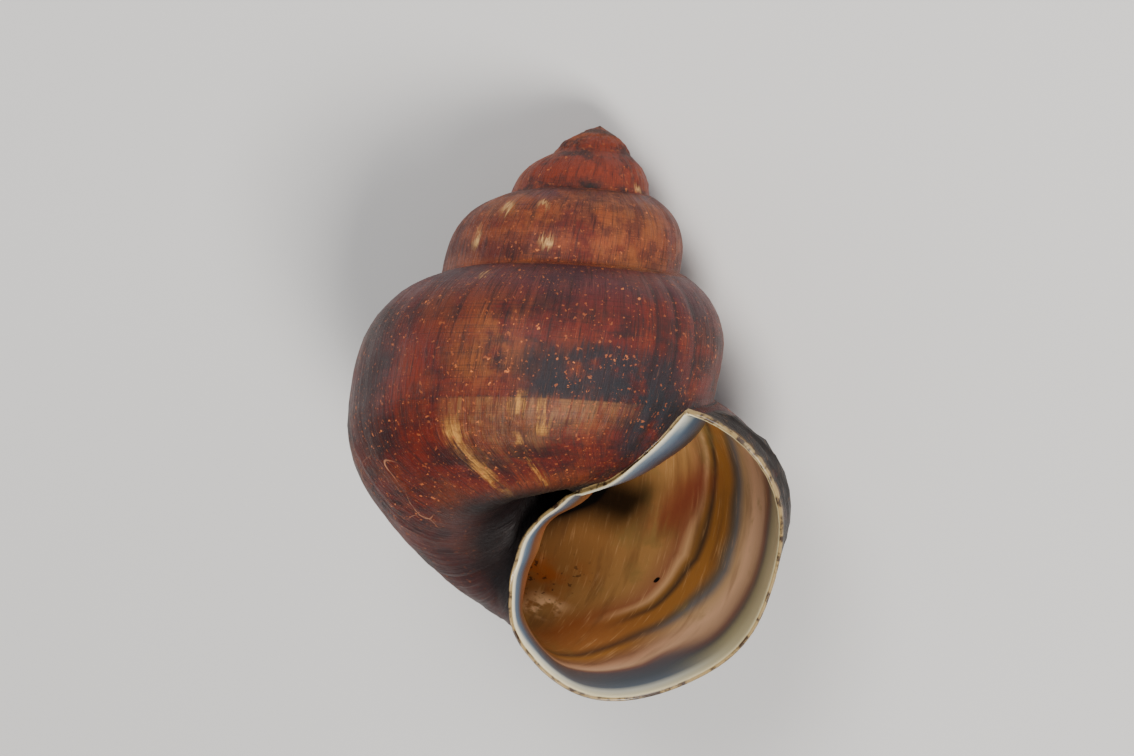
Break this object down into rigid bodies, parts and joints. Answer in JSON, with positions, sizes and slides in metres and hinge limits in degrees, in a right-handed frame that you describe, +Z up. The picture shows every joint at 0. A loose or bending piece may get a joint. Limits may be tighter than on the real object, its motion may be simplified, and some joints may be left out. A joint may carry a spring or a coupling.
{
  "type": "mystery snail shell",
  "caption": "Empty right-handed shell of a large freshwater mystery snail, red-brown with a pale-lipped oval aperture, lying on its back.",
  "frame": {"origin": "middle of the shell's box, on the surface it lies on", "axes": "+Z up from the surface, +Y towards the spire, +X towards the outer lip; the aperture faces up"},
  "size_m": [0.046, 0.0518, 0.0359],
  "materials": {
    "shell": "satin"
  },
  "bodies": {
    "root": {"shell": "shell"}
  },
  "joints": []
}
